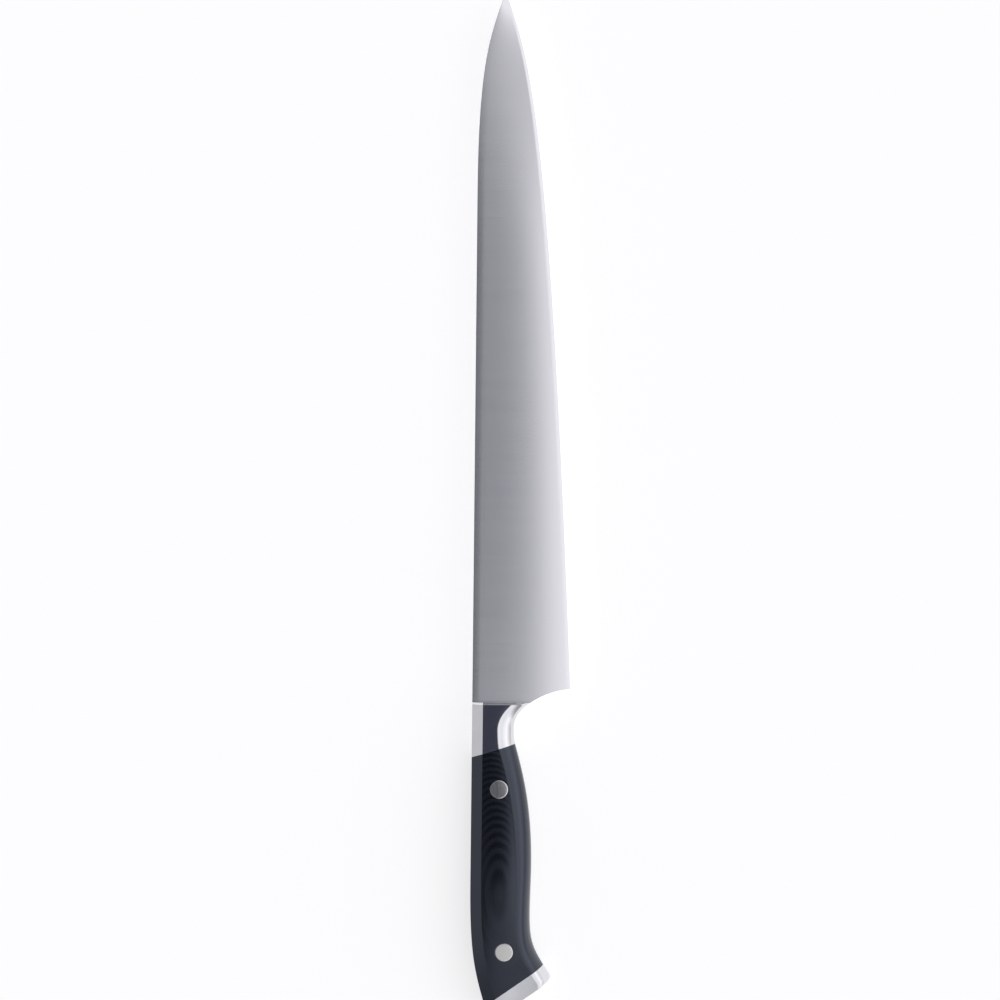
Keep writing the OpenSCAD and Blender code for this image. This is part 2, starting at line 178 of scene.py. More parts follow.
@dataclass(frozen=True)
class KnifePlan:
    """The knife's outline from the side and the places of its rivets, in millimetres.

    A slope is a curve's fall in w over its run in x, and a reach is the share of the curve's span
    that the slope at that end carries over.
    """

    blade_l: float = 270.0
    blade_w: float = 37.9
    heel_ahead: float = 5.5
    point_l: float = 77.0
    point_drop: float = 10.1
    tip_flat: float = 0.3
    handle_l: float = 123.4
    neck_w: float = 16.3
    neck_back: float = 9.4
    seam_w: float = 16.75
    bolster_l: float = 21.1
    bolster_belly_l: float = 15.8
    swell_w: float = 23.4
    swell_back: float = 69.8
    hook_w: float = 31.9
    bend_back: float = 70.5
    butt_drop: float = 7.7
    butt_lean: float = radians(35)
    hook_ease: float = 1.9
    heel_ease: float = 1.6
    cap_t: float = 6.2
    front_rivet_gap: float = 12.15
    front_rivet_w: float = 10.7
    rear_rivet_gap: float = 21.1
    rear_rivet_w: float = 13.2

    spine_reach: float = 0.685
    spine_tip_slope: float = 0.308
    spine_tip_reach: float = 0.21
    edge_heel_slope: float = -0.045
    edge_heel_reach: float = 0.85
    edge_tip_slope: float = -0.353
    edge_tip_reach: float = 0.093
    choil_lean: float = 0.8
    choil_carry: float = 0.53
    choil_sweep: float = 0.22
    neck_reach: float = 0.35
    seam_slope: float = -0.288
    seam_reach_ahead: float = 0.2
    seam_reach_behind: float = 0.25
    swell_slope: float = 0.033
    swell_reach_ahead: float = 0.485
    swell_reach_behind: float = 0.66
    hook_slope: float = -0.64
    hook_reach: float = 0.37
    bend_reach: float = 0.59
    butt_slope: float = -0.272
    butt_reach: float = 0.33

    @property
    def tip_x(self) -> float:
        """How far ahead of the bolster's front face the tip is."""
        return self.heel_ahead + self.blade_l

    @cached_property
    def spine_curve(self) -> PlanCurve:
        """Drop of the spine to the tip.

        Returns:
            The curve.
        """
        start = (self.tip_x - self.point_l, 0.0)
        end = (self.tip_x, self.point_drop - self.tip_flat / 2)
        return PlanCurve.sloped(start, 0, self.spine_reach, end, self.spine_tip_slope, self.spine_tip_reach)

    @cached_property
    def edge_curve(self) -> PlanCurve:
        """The cutting edge from the heel to the tip.

        Returns:
            The curve.
        """
        heel = (self.heel_ahead, self.blade_w)
        end = (self.tip_x, self.point_drop + self.tip_flat / 2)
        return PlanCurve.sloped(
            heel, self.edge_heel_slope, self.edge_heel_reach, end, self.edge_tip_slope, self.edge_tip_reach
        )

    @cached_property
    def choil_curve(self) -> PlanCurve:
        """Sweep from the heel corner up to the waist on the bolster.

        Returns:
            The curve.
        """
        return PlanCurve((
            (self.heel_ahead, self.blade_w),
            (self.heel_ahead - self.choil_lean, mix(self.neck_w, self.blade_w, self.choil_carry)),
            (-self.neck_back * self.choil_sweep, self.neck_w),
            (-self.neck_back, self.neck_w),
        ))

    @cached_property
    def back_curve(self) -> PlanCurve:
        """Drop of the handle's spine behind the palm.

        Returns:
            The curve.
        """
        end = (-self.handle_l, self.butt_drop)
        return PlanCurve.sloped(
            (-self.bend_back, 0.0), 0, self.bend_reach, end, self.butt_slope, self.butt_reach
        )

    @cached_property
    def belly_curves(self) -> tuple[PlanCurve, ...]:
        """The handle's belly from the waist to the hook.

        Returns:
            The three curves, from the front back.
        """
        waist = (-self.neck_back, self.neck_w)
        seam = (-self.bolster_belly_l, self.seam_w)
        swell = (-self.swell_back, self.swell_w)
        return (
            PlanCurve.sloped(waist, 0, self.neck_reach, seam, self.seam_slope, self.seam_reach_ahead),
            PlanCurve.sloped(
                seam, self.seam_slope, self.seam_reach_behind, swell, self.swell_slope, self.swell_reach_ahead
            ),
            PlanCurve.sloped(
                swell, self.swell_slope, self.swell_reach_behind, self.hook, self.hook_slope, self.hook_reach
            ),
        )

    @property
    def hook(self) -> Point:
        """The corner between the belly and the butt."""
        return (float(self.butt_line_x(self.hook_w)), self.hook_w)

    def butt_line_x(self, w: Array | float) -> Array | float:
        """Where the leaning butt is at w."""
        return -self.handle_l + (w - self.butt_drop) * tan(self.butt_lean)

    def spine_w(self, x: Array) -> Array:
        """The blade's spine at x."""
        return np.where(x <= self.tip_x - self.point_l, 0.0, self.spine_curve.w(x))

    def edge_w(self, x: Array) -> Array:
        """The cutting edge at x, run on straight behind the heel."""
        straight = self.blade_w + self.edge_heel_slope * (x - self.heel_ahead)
        return np.where(x <= self.heel_ahead, straight, self.edge_curve.w(x))

    def back_w(self, x: Array | float) -> Array:
        """The handle's spine at x."""
        return np.where(np.asarray(x) >= -self.bend_back, 0.0, self.back_curve.w(x))

    def belly_w(self, x: Array | float) -> Array:
        """The handle's belly, one curve after another.

        Args:
            x: places from the bolster's front face back to the hook.

        Returns:
            The belly's w at each place.
        """
        x = np.asarray(x, float)
        neck, palm, hook = self.belly_curves
        return np.select(
            [x >= -self.neck_back, x >= -self.bolster_belly_l, x >= -self.swell_back],
            [self.choil_curve.w(x), neck.w(x), palm.w(x)],
            hook.w(x),
        )

    def seam_meets(self, outline: Array) -> float:
        """Where the cap's seam, parallel to the butt, crosses an outline.

        Args:
            outline: points along it, with x rising.

        Returns:
            The x of the crossing.
        """
        seam = self.butt_line_x(outline[:, 1]) + self.cap_t / cos(self.butt_lean)
        ahead = outline[:, 0] - seam
        cross = int(np.argmax(ahead > 0))
        share = ahead[cross - 1] / (ahead[cross - 1] - ahead[cross])
        return float(mix(outline[cross - 1, 0], outline[cross, 0], share))

    @cached_property
    def cap_seam(self) -> Point:
        """The x of the cap's seam at the spine and at the belly."""
        return self.seam_meets(self.back_curve.points), self.seam_meets(self.belly_curves[2].points)

    @property
    def front_rivet(self) -> Point:
        """Middle of the front rivet."""
        return (-self.bolster_l - self.front_rivet_gap, self.front_rivet_w)

    @property
    def rear_rivet(self) -> Point:
        """Middle of the rear rivet."""
        return (self.cap_seam[0] + self.rear_rivet_gap, self.rear_rivet_w)

    def place(self, x: Array, w: Array, z: Array) -> Array:
        """Puts plan places and heights into the frame's metres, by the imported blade's own box.

        Args:
            x: places ahead of the bolster's front face, in millimetres.
            w: places below the spine line, in millimetres.
            z: heights above the blade's middle plane, in millimetres.

        Returns:
            The points, with a last axis of 3.
        """
        low, high = np.array(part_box("blade"))
        middle = (low[2] + high[2]) / 2
        return np.stack([
            high[0] + (x - self.tip_x) * MM,
            high[1] - w * MM + 0 * x,
            middle + z * MM + 0 * x,
        ], axis=-1)


PLAN = KnifePlan()


@dataclass(frozen=True)
class Stations:
    """Lines across the handle or the blade, each from a point on the spine to one on the belly.

    Attributes:
        spine: points on the spine, n by 2.
        belly: points on the belly or edge, n by 2.
        bevel: how far each line's surface is lowered by a bevel, n.
    """

    spine: Array
    belly: Array
    bevel: Array

    @classmethod
    def between(cls, spine_x: Array, belly_x: Array, bevel: Array | float = 0.0) -> "Stations":
        """Stations of the handle.

        Args:
            spine_x: where each one meets the handle's spine.
            belly_x: where each one meets its belly.
            bevel: how far each one's surface is lowered.

        Returns:
            The stations.
        """
        spine = np.stack([spine_x, PLAN.back_w(spine_x)], axis=-1)
        belly = np.stack([belly_x, PLAN.belly_w(belly_x)], axis=-1)
        return cls(spine, belly, bevel + np.zeros(len(spine_x)))

    def then(self, other: "Stations") -> "Stations":
        """These stations followed by others.

        Args:
            other: the stations that follow.

        Returns:
            All of them in a row.
        """
        return Stations(
            np.vstack([self.spine, other.spine]),
            np.vstack([self.belly, other.belly]),
            np.concatenate([self.bevel, other.bevel]),
        )

    def at(self, share: Array) -> Array:
        """Plan points at shares of each station's length, stations by shares by 2."""
        return mix(self.spine[:, None, :], self.belly[:, None, :], share[..., None])


@dataclass(frozen=True)
class HandleSection:
    """The handle's cross-section above the tang: spine face, facet, crowned side, rounded belly."""

    front_h: float = 5.6
    swell_h: float = 8.6
    butt_h: float = 8.0
    crest_back: float = 73.0
    flank_rise: float = 0.47
    facet_w: float = 4.15
    facet_d: float = 3.0
    round_front_w: float = 7.0
    round_swell_w: float = 6.4
    round_butt_w: float = 4.4
    crown_r: float = 130.0
    ellipse_power: float = 2.0
    facet_power: float = 1.35
    tang_h: float = 1.25
    spine_face_min: float = 0.3
    facet_columns: int = 5
    crown_columns: int = 16
    round_columns: int = 22

    def ahead(self, x: Array) -> Array:
        """Share of the way from the bolster's front back to the crest."""
        return clamp01(-x / self.crest_back)

    def behind(self, x: Array) -> Array:
        """Share of the way from the crest back to the butt."""
        return clamp01((-x - self.crest_back) / (PLAN.handle_l - self.crest_back))

    def side_h(self, x: Array) -> Array:
        """Half thickness: a cubic rise from the bolster to the crest and a cubic fall to the butt.

        Args:
            x: places ahead of the bolster's front face.

        Returns:
            The half thickness at each place.
        """
        x = np.asarray(x, float)
        knee = mix(self.front_h, self.swell_h, self.flank_rise)
        rise = cubic([self.front_h, knee, self.swell_h, self.swell_h], self.ahead(x))
        fall = cubic([self.swell_h, self.swell_h, self.butt_h, self.butt_h], self.behind(x))
        return np.where(x > -self.crest_back, rise, fall)

    def crown(self, x: Array, flat: Array) -> Array:
        """Height of an arc, its chord squared over 8 radii, which fades out behind the crest."""
        return flat**2 / 8 / self.crown_r * (1 - self.behind(x))

    def round_power(self, x: Array) -> Array:
        """Power of the belly's rounding: an ellipse ahead of the crest, nearly a facet at the butt."""
        return mix(self.ellipse_power, self.facet_power, self.behind(x))

    def round_w(self, x: Array) -> Array:
        """Width of the belly's rounding, straight from the front to the crest and on to the butt.

        Args:
            x: places ahead of the bolster's front face.

        Returns:
            The width at each place.
        """
        rise = mix(self.round_front_w, self.round_swell_w, self.ahead(x))
        fall = mix(self.round_swell_w, self.round_butt_w, self.behind(x))
        return np.where(x > -self.crest_back, rise, fall)

    def rings(self, stations: Stations, side: Side) -> Array:
        """One closed ring of points per station.

        The spine face goes straight up, and the facet straight over to the side. The side is a
        parabola's crown, z = h - crown (2s - 1)^2. The belly is a quarter of a superellipse.

        Args:
            stations: the lines across the handle.
            side: the side of the blade that the piece lies on.

        Returns:
            Points in metres, stations by columns by 3.
        """
        length = np.linalg.norm(stations.belly - stations.spine, axis=1)
        drop = (stations.belly - stations.spine)[:, 1]
        middle_x = (stations.spine[:, 0] + stations.belly[:, 0]) / 2
        facet_q = (self.facet_w / drop)[:, None]
        round_q = (1 - self.round_w(middle_x) / length)[:, None]
        bevel = stations.bevel[:, None]
        dome = self.crown(middle_x, (round_q - facet_q)[:, 0] * length)[:, None]
        bend = 2 / self.round_power(middle_x)[:, None]

        spine_top = np.maximum(
            self.side_h(stations.spine[:, :1]) - self.facet_d - bevel, self.tang_h + self.spine_face_min
        )
        across = np.linspace(0, 1, self.crown_columns)
        side_share = mix(facet_q, round_q, across)
        side_x = stations.at(side_share)[..., 0]
        side_z = self.side_h(side_x) - bevel - dome * (2 * across - 1) ** 2

        over = np.linspace(0, 1, self.facet_columns + 1)[1:-1]
        facet_z = mix(spine_top, side_z[:, :1], over)

        turn = np.linspace(0, pi / 2, self.round_columns + 1)[1:]
        round_share = mix(round_q, 1, np.sin(turn) ** bend)
        round_x = stations.at(round_share)[..., 0]
        round_z = mix(self.tang_h, self.side_h(round_x) - bevel - dome, np.abs(np.cos(turn)) ** bend)

        share = np.hstack([0 * facet_q, 0 * facet_q, facet_q * over, side_share, round_share])
        height = np.hstack([self.tang_h + 0 * spine_top, spine_top, facet_z, side_z, round_z])
        plan = stations.at(share)
        return PLAN.place(plan[..., 0], plan[..., 1], side.value * height)

    def skin(self, x: Array, w: Array) -> Array:
        """Height of the crowned side, for what is ground flush with it.

        Args:
            x: places ahead of the bolster's front face.
            w: places below the spine line.

        Returns:
            The height at each place.
        """
        near, far = PLAN.back_w(x) + self.facet_w, PLAN.belly_w(x) - self.round_w(x)
        across = (w - near) / (far - near)
        return self.side_h(x) - self.crown(x, far - near) * (2 * across - 1) ** 2


SECTION = HandleSection()


def loft(rings: Array) -> tuple[Array, list[list[int]]]:
    """A closed solid: quads between neighbouring rings and a fan of triangles on each end ring.

    Args:
        rings: points, rings by columns by 3.

    Returns:
        Its vertices, and its faces, turned outwards by the sign of the volume that they enclose.
    """
    rows, columns, _ = rings.shape
    here = np.arange(columns)
    after = np.roll(here, -1)
    first = np.arange(rows - 1)[:, None] * columns
    corners = [first + here, first + after, first + columns + after, first + columns + here]
    quads = np.stack(corners, axis=-1).reshape(-1, 4)
    points = np.vstack([rings.reshape(-1, 3), rings[0].mean(axis=0), rings[-1].mean(axis=0)])
    start, end = rows * columns, rows * columns + 1
    last = (rows - 1) * columns
    fans = np.vstack([
        np.stack([after, here, np.full(columns, start)], axis=-1),
        np.stack([last + here, last + after, np.full(columns, end)], axis=-1),
    ])
    triangles = np.vstack([quads[:, :3], quads[:, [0, 2, 3]], fans])
    a, b, c = (points[triangles[:, i]] - points.mean(axis=0) for i in range(3))
    if np.einsum("ij,ij->", a, np.cross(b, c)) < 0:
        quads, fans = quads[:, ::-1], fans[:, ::-1]
    return points, quads.tolist() + fans.tolist()


def add_piece(name: str, rings: Array, material: bpy.types.Material, node: str) -> None:
    """Makes a visible piece of the knife that stands for a node of the frame.

    Args:
        name: the piece's name.
        rings: its surface, as loft takes it, with its place in it.
        material: its finish.
        node: the frame's node that it replaces.
    """
    points, faces = loft(rings)
    mesh = bpy.data.meshes.new(name)
    mesh.from_pydata(points.tolist(), [], faces)
    mesh.polygons.foreach_set("use_smooth", np.ones(len(mesh.polygons), bool))
    mesh.set_sharp_from_angle(angle=SHARP_ANGLE)
    mesh.materials.append(material)
    mesh.update()
    piece = bpy.data.objects.new(name, mesh)
    bpy.context.scene.collection.objects.link(piece)
    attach(piece, BODY)
    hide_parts(node)
    log.info("%s: %d points, stands for %s", name, len(points), node)


def add_halves(part: str, ending: str, stations: Stations, material: bpy.types.Material) -> None:
    """Makes the right and the left half of a part of the handle.

    Args:
        part: the part's name as the nodes spell it.
        ending: how its pieces' names end.
        stations: the lines across it.
        material: its finish.
    """
    for side in Side:
        node = f"{part}_{side.word}"
        add_piece(f"{node}_{ending}", SECTION.rings(stations, side), material, node)


class Board:
    """A node tree being wired."""

    def __init__(self, tree: bpy.types.NodeTree) -> None:
        """Starts the tree empty."""
        self.tree = tree
        tree.nodes.clear()

    def plug(self, node: bpy.types.Node, inputs: Inputs) -> bpy.types.Node:
        """Sets a node's inputs, or links those that come from another node.

        Args:
            node: the node.
            inputs: a value or another node's output for each of its sockets.

        Returns:
            The node.
        """
        for key, value in inputs.items():
            if isinstance(value, Socket):
                self.tree.links.new(value, node.inputs[key])
            else:
                node.inputs[key].default_value = value
        return node

    def add(self, kind: str, inputs: Inputs | None = None,
            **settings: object) -> bpy.types.Node:
        """Adds a node.

        Args:
            kind: its type's name, without the leading ShaderNode.
            inputs: a value or another node's output for each of its sockets.
            settings: its own properties.

        Returns:
            The node.
        """
        node = self.tree.nodes.new("ShaderNode" + kind)
        for name, value in settings.items():
            setattr(node, name, value)
        return self.plug(node, inputs or {})

    def math(self, operation: str, a: Value, b: Value = 0.0, c: Value = 0.0) -> Socket:
        """The result of one arithmetic step."""
        return self.add("Math", {0: a, 1: b, 2: c}, operation=operation).outputs[0]

    def ranged(self, value: Value, low: Value, high: Value, to_low: Value = 0.0, to_high: Value = 1.0,
               smooth: bool = False) -> Socket:
        """Carries a value from one range to another, held at its ends.

        Args:
            value: the value.
            low: where its range starts.
            high: where its range ends.
            to_low: what the start turns into.
            to_high: what the end turns into.
            smooth: whether it eases in and out.

        Returns:
            The carried value.
        """
        return self.add("MapRange", {
            "Value": value, "From Min": low, "From Max": high, "To Min": to_low, "To Max": to_high,
        }, interpolation_type="SMOOTHSTEP" if smooth else "LINEAR").outputs["Result"]

    def noise(self, place: Value, scale: Value, detail: float = 2.0, distortion: float = 0.0) -> Socket:
        """Soft noise from 0 to 1.

        Args:
            place: where the noise is read.
            scale: how fine it is.
            detail: how many finer layers it has.
            distortion: how much it swirls.

        Returns:
            The noise.
        """
        return self.add("TexNoise", {
            "Vector": place, "Scale": scale, "Detail": detail, "Distortion": distortion,
        }).outputs[0]

    def stretched(self, place: Value, stretch: Value) -> Socket:
        """A place with each of its axes scaled by its own factor."""
        return self.add("VectorMath", {0: place, 1: stretch}, operation="MULTIPLY").outputs[0]

    def blend(self, share: Value, a: Value, b: Value) -> Socket:
        """The colour a turned into the colour b by a share."""
        return self.add("Mix", {0: share, 6: a, 7: b}, data_type="RGBA").outputs[2]


class MaterialBoard(Board):
    """The node tree of a material, with its Principled shader and the object's own coordinates."""

    def __init__(self, name: str) -> None:
        """Starts a material with the shader on its surface.

        Args:
            name: the material's name.
        """
        self.material = bpy.data.materials.new(name)
        self.material.use_nodes = True
        super().__init__(self.material.node_tree)
        self.shader = self.add("BsdfPrincipled")
        self.add("OutputMaterial", {"Surface": self.shader.outputs[0]})
        self.place = self.add("TexCoord").outputs["Object"]

    def dressed(self, inputs: Inputs) -> bpy.types.Material:
        """The material with its shader's sockets set or linked."""
        self.plug(self.shader, inputs)
        return self.material


class EffectGroup:
    """A shader node group with named inputs and outputs, built once and placed in many materials.

    Attributes:
        name: the group's name.
        takes: kind and default of each input.
        gives: kind of each output.
    """

    name: ClassVar[str]
    takes: ClassVar[dict[str, tuple[str, Value | None]]]
    gives: ClassVar[dict[str, str]]

    def wire(self, board: Board, given: bpy.types.NodeOutputs) -> dict[str, Socket]:
        """Builds the group's inside.

        Args:
            board: the group's own tree.
            given: the group's inputs.

        Returns:
            The socket behind each of the group's outputs.
        """
        raise NotImplementedError

    def tree(self) -> bpy.types.NodeTree:
        """Makes the group's tree at its first use.

        Returns:
            The tree.
        """
        if self.name in bpy.data.node_groups:
            return bpy.data.node_groups[self.name]
        tree = bpy.data.node_groups.new(self.name, "ShaderNodeTree")
        board = Board(tree)
        for name, (kind, default) in self.takes.items():
            socket = tree.interface.new_socket(name=name, in_out="INPUT", socket_type="NodeSocket" + kind)
            if default is not None:
                socket.default_value = default
        for name, kind in self.gives.items():
            tree.interface.new_socket(name=name, in_out="OUTPUT", socket_type="NodeSocket" + kind)
        given = tree.nodes.new("NodeGroupInput").outputs
        board.plug(tree.nodes.new("NodeGroupOutput"), self.wire(board, given))
        return tree

    def on(self, board: Board, inputs: Inputs) -> bpy.types.NodeOutputs:
        """Places the group on a material's board with its own values, and gives its outputs."""
        return board.add("Group", inputs, node_tree=self.tree()).outputs


class BrushGrain(EffectGroup):
    """Fine lines that an abrasive belt leaves, a broad one over a fine one, along one axis."""

    name = "Brush grain"
    takes = {
        "Place": ("Vector", None),
        "Stretch": ("Vector", (1.0, 1.0, 1.0)),
        "Dark": ("Color", (0.5, 0.5, 0.5, 1.0)),
        "Light": ("Color", (0.6, 0.6, 0.6, 1.0)),
        "Smoothest": ("Float", 0.25),
        "Roughest": ("Float", 0.35),
    }
    gives = {"Color": "Color", "Roughness": "Float", "Height": "Float"}
    fine_scale = 6.0
    fine_detail = 3.0
    fine_share = 0.5
    broad_scale = 1.0
    cloud_scale = 14.0
    cloud_share = 0.3
    tone_range = (0.4, 0.9)
    rough_range = (0.3, 0.7)

    def wire(self, board: Board, given: bpy.types.NodeOutputs) -> dict[str, Socket]:
        """Stretched noise at two widths, and unstretched cloud for the hand's uneven pressure.

        Args:
            board: the group's own tree.
            given: the group's inputs.

        Returns:
            The socket behind each of the group's outputs.
        """
        lines = board.stretched(given["Place"], given["Stretch"])
        fine = board.noise(lines, self.fine_scale, self.fine_detail)
        broad = board.math("MULTIPLY", board.noise(lines, self.broad_scale), 1 - self.fine_share)
        cloud = board.noise(given["Place"], self.cloud_scale)
        both = board.math("MULTIPLY_ADD", fine, self.fine_share, broad)
        tone = board.ranged(board.math("MULTIPLY_ADD", cloud, self.cloud_share, both), *self.tone_range)
        rough = board.ranged(both, *self.rough_range, given["Smoothest"], given["Roughest"])
        return {"Color": board.blend(tone, given["Dark"], given["Light"]), "Roughness": rough, "Height": both}


class PolishHaze(EffectGroup):
    """Faint haze and hairlines on a polished surface."""

    name = "Polish haze"
    takes = {
        "Place": ("Vector", None),
        "Dark": ("Color", (0.7, 0.7, 0.7, 1.0)),
        "Light": ("Color", (0.8, 0.8, 0.8, 1.0)),
        "Smoothest": ("Float", 0.05),
        "Roughest": ("Float", 0.12),
    }
    gives = {"Color": "Color", "Roughness": "Float", "Height": "Float"}
    cloud_scale = 90.0
    cloud_detail = 3.0
    cloud_swirl = 0.4
    cloud_range = (0.3, 0.8)
    hair_scale = 40.0
    hair_detail = 4.0
    hair_stretch = (1.0, 26.0, 26.0)
    hair_range = (0.62, 0.74)
    hair_share = 0.35
    full_haze = 1.2

    def wire(self, board: Board, given: bpy.types.NodeOutputs) -> dict[str, Socket]:
        """Cloudy haze, with hairlines that run along the knife where stretched noise peaks.

        Args:
            board: the group's own tree.
            given: the group's inputs.

        Returns:
            The socket behind each of the group's outputs.
        """
        cloud = board.noise(given["Place"], self.cloud_scale, self.cloud_detail, self.cloud_swirl)
        lines = board.stretched(given["Place"], self.hair_stretch)
        streaks = board.noise(lines, self.hair_scale, self.hair_detail)
        hairs = board.ranged(streaks, *self.hair_range, smooth=True)
        haze = board.math("MULTIPLY_ADD", hairs, self.hair_share, board.ranged(cloud, *self.cloud_range))
        rough = board.ranged(haze, 0.0, self.full_haze, given["Smoothest"], given["Roughest"])
        colour = board.blend(board.ranged(haze, 0.0, 1.0), given["Light"], given["Dark"])
        return {"Color": colour, "Roughness": rough, "Height": haze}


class ContourPlies(EffectGroup):
    """Layers of cloth in resin, pressed flat, which the shaped surface cuts into contour rings."""

    name = "Contour plies"
    takes = {
        "Place": ("Vector", None),
        "Ply": ("Float", 0.12 * MM),
        "Waviness": ("Float", 0.02 * MM),
        "Thread": ("Float", 0.3 * MM),
    }
    gives = {"Ring": "Float", "Weave": "Float"}
    ripple_scale = 55.0
    ripple_detail = 1.0
    ripple_middle = 0.5
    ring_range = (0.15, 0.85)
    thread_stretch = 7.0
    threads_share = 0.2

    def wire(self, board: Board, given: bpy.types.NodeOutputs) -> dict[str, Socket]:
        """Ring is a bump for each ply of height, and Weave is crossed threads of noise.

        Args:
            board: the group's own tree.
            given: the group's inputs.

        Returns:
            The socket behind each of the group's outputs.
        """
        place = given["Place"]
        height = board.add("SeparateXYZ", {0: place}).outputs["Z"]
        wave = board.noise(place, self.ripple_scale, self.ripple_detail)
        ripple = board.math("SUBTRACT", wave, self.ripple_middle)
        level = board.math("MULTIPLY_ADD", ripple, given["Waviness"], height)
        phase = board.math("FRACT", board.math("DIVIDE", level, given["Ply"]))
        fold = board.math("PINGPONG", board.math("MULTIPLY", phase, 2.0), 1.0)
        ring = board.ranged(fold, *self.ring_range, smooth=True)
        pitch = board.math("MULTIPLY", board.math("DIVIDE", 1.0, given["Thread"]), self.threads_share)
        warp, weft = (
            board.noise(board.stretched(place, stretch), pitch)
            for stretch in ((1.0, self.thread_stretch, 1.0), (self.thread_stretch, 1.0, 1.0))
        )
        return {"Ring": ring, "Weave": board.math("MULTIPLY", warp, weft)}


def grey(level: float, tint: tuple[float, float, float] = (1.0, 1.0, 1.0)) -> Colour:
    """A linear grey with a tint."""
    return (level * tint[0], level * tint[1], level * tint[2], 1.0)


@dataclass(frozen=True)
class MetalFinish:
    """Bare metal with fine marks.

    Attributes:
        name: the material's name.
        dark: colour in the marks.
        light: colour between them.
        smoothest: lowest roughness.
        roughest: highest roughness.
        depth: depth of the marks, in metres.
        marks: the group that draws them.
        relief: share of their depth that shows.
    """

    name: str
    dark: Colour
    light: Colour
    smoothest: float
    roughest: float
    depth: float

    marks: ClassVar[EffectGroup]
    relief: ClassVar[float]

    def run(self) -> Inputs:
        """What the marks take for their direction."""
        return {}

    def material(self) -> bpy.types.Material:
        """Makes the finished metal.

        Returns:
            The material.
        """
        board = MaterialBoard(self.name)
        marks = self.marks.on(board, {
            "Place": board.place, "Dark": self.dark, "Light": self.light,
            "Smoothest": self.smoothest, "Roughest": self.roughest, **self.run(),
        })
        bump = board.add("Bump", {"Strength": self.relief, "Distance": self.depth, "Height": marks["Height"]})
        return board.dressed({
            "Base Color": marks["Color"], "Metallic": 1.0, "Roughness": marks["Roughness"],
            "Normal": bump.outputs[0],
        })


@dataclass(frozen=True)
class BrushedFinish(MetalFinish):
    """Metal finished with a belt: satin steel, ground dowels and flush-ground rivets.

    Attributes:
        stretch: how close the lines lie along each axis, per metre.
    """

    stretch: tuple[float, float, float]

    marks = BrushGrain()
    relief = 0.2

    def run(self) -> Inputs:
        """The lines' direction."""
        return {"Stretch": self.stretch}


@dataclass(frozen=True)
class PolishedFinish(MetalFinish):
    """Mirror-polished steel with a trace of haze."""

    marks = PolishHaze()
    relief = 0.1


@dataclass(frozen=True)
class LaminateFinish:
    """Black linen laminate, sanded and buffed.

    Attributes:
        name: the material's name.
        resin: colour of the darkest ply.
        cloth: colour of the lightest ply.
        thread: colour where threads cross.
        smoothest: roughness of the resin.
        roughest: roughness of the cloth.
        weave_depth: depth of the weave, in metres.
        ior: refraction of the buffed surface, which sets how much it mirrors.
        sheen: tint of what it mirrors.
        weave_range: where the crossed threads' noise starts and ends.
        weave_share: share of the weave in the roughness.
        relief: share of the weave's depth that shows.
    """

    name: str
    resin: Colour
    cloth: Colour
    thread: Colour
    smoothest: float
    roughest: float
    weave_depth: float
    ior: float
    sheen: Colour
    weave_range: Point = (0.15, 0.4)
    weave_share: float = 0.4
    relief: float = 0.3

    def material(self) -> bpy.types.Material:
        """Makes the finished laminate.

        Returns:
            The material.
        """
        board = MaterialBoard(self.name)
        plies = ContourPlies().on(board, {"Place": board.place})
        weave = board.ranged(plies["Weave"], *self.weave_range)
        colour = board.blend(plies["Ring"], self.resin, board.blend(weave, self.cloth, self.thread))
        uneven = board.math("MULTIPLY_ADD", weave, self.weave_share, plies["Ring"])
        rough = board.ranged(uneven, 0.0, 1 + self.weave_share, self.smoothest, self.roughest)
        bump = board.add("Bump", {"Strength": self.relief, "Distance": self.weave_depth, "Height": weave})
        return board.dressed({
            "Base Color": colour, "Roughness": rough, "Normal": bump.outputs[0],
            "IOR": self.ior, "Specular Tint": self.sheen,
        })


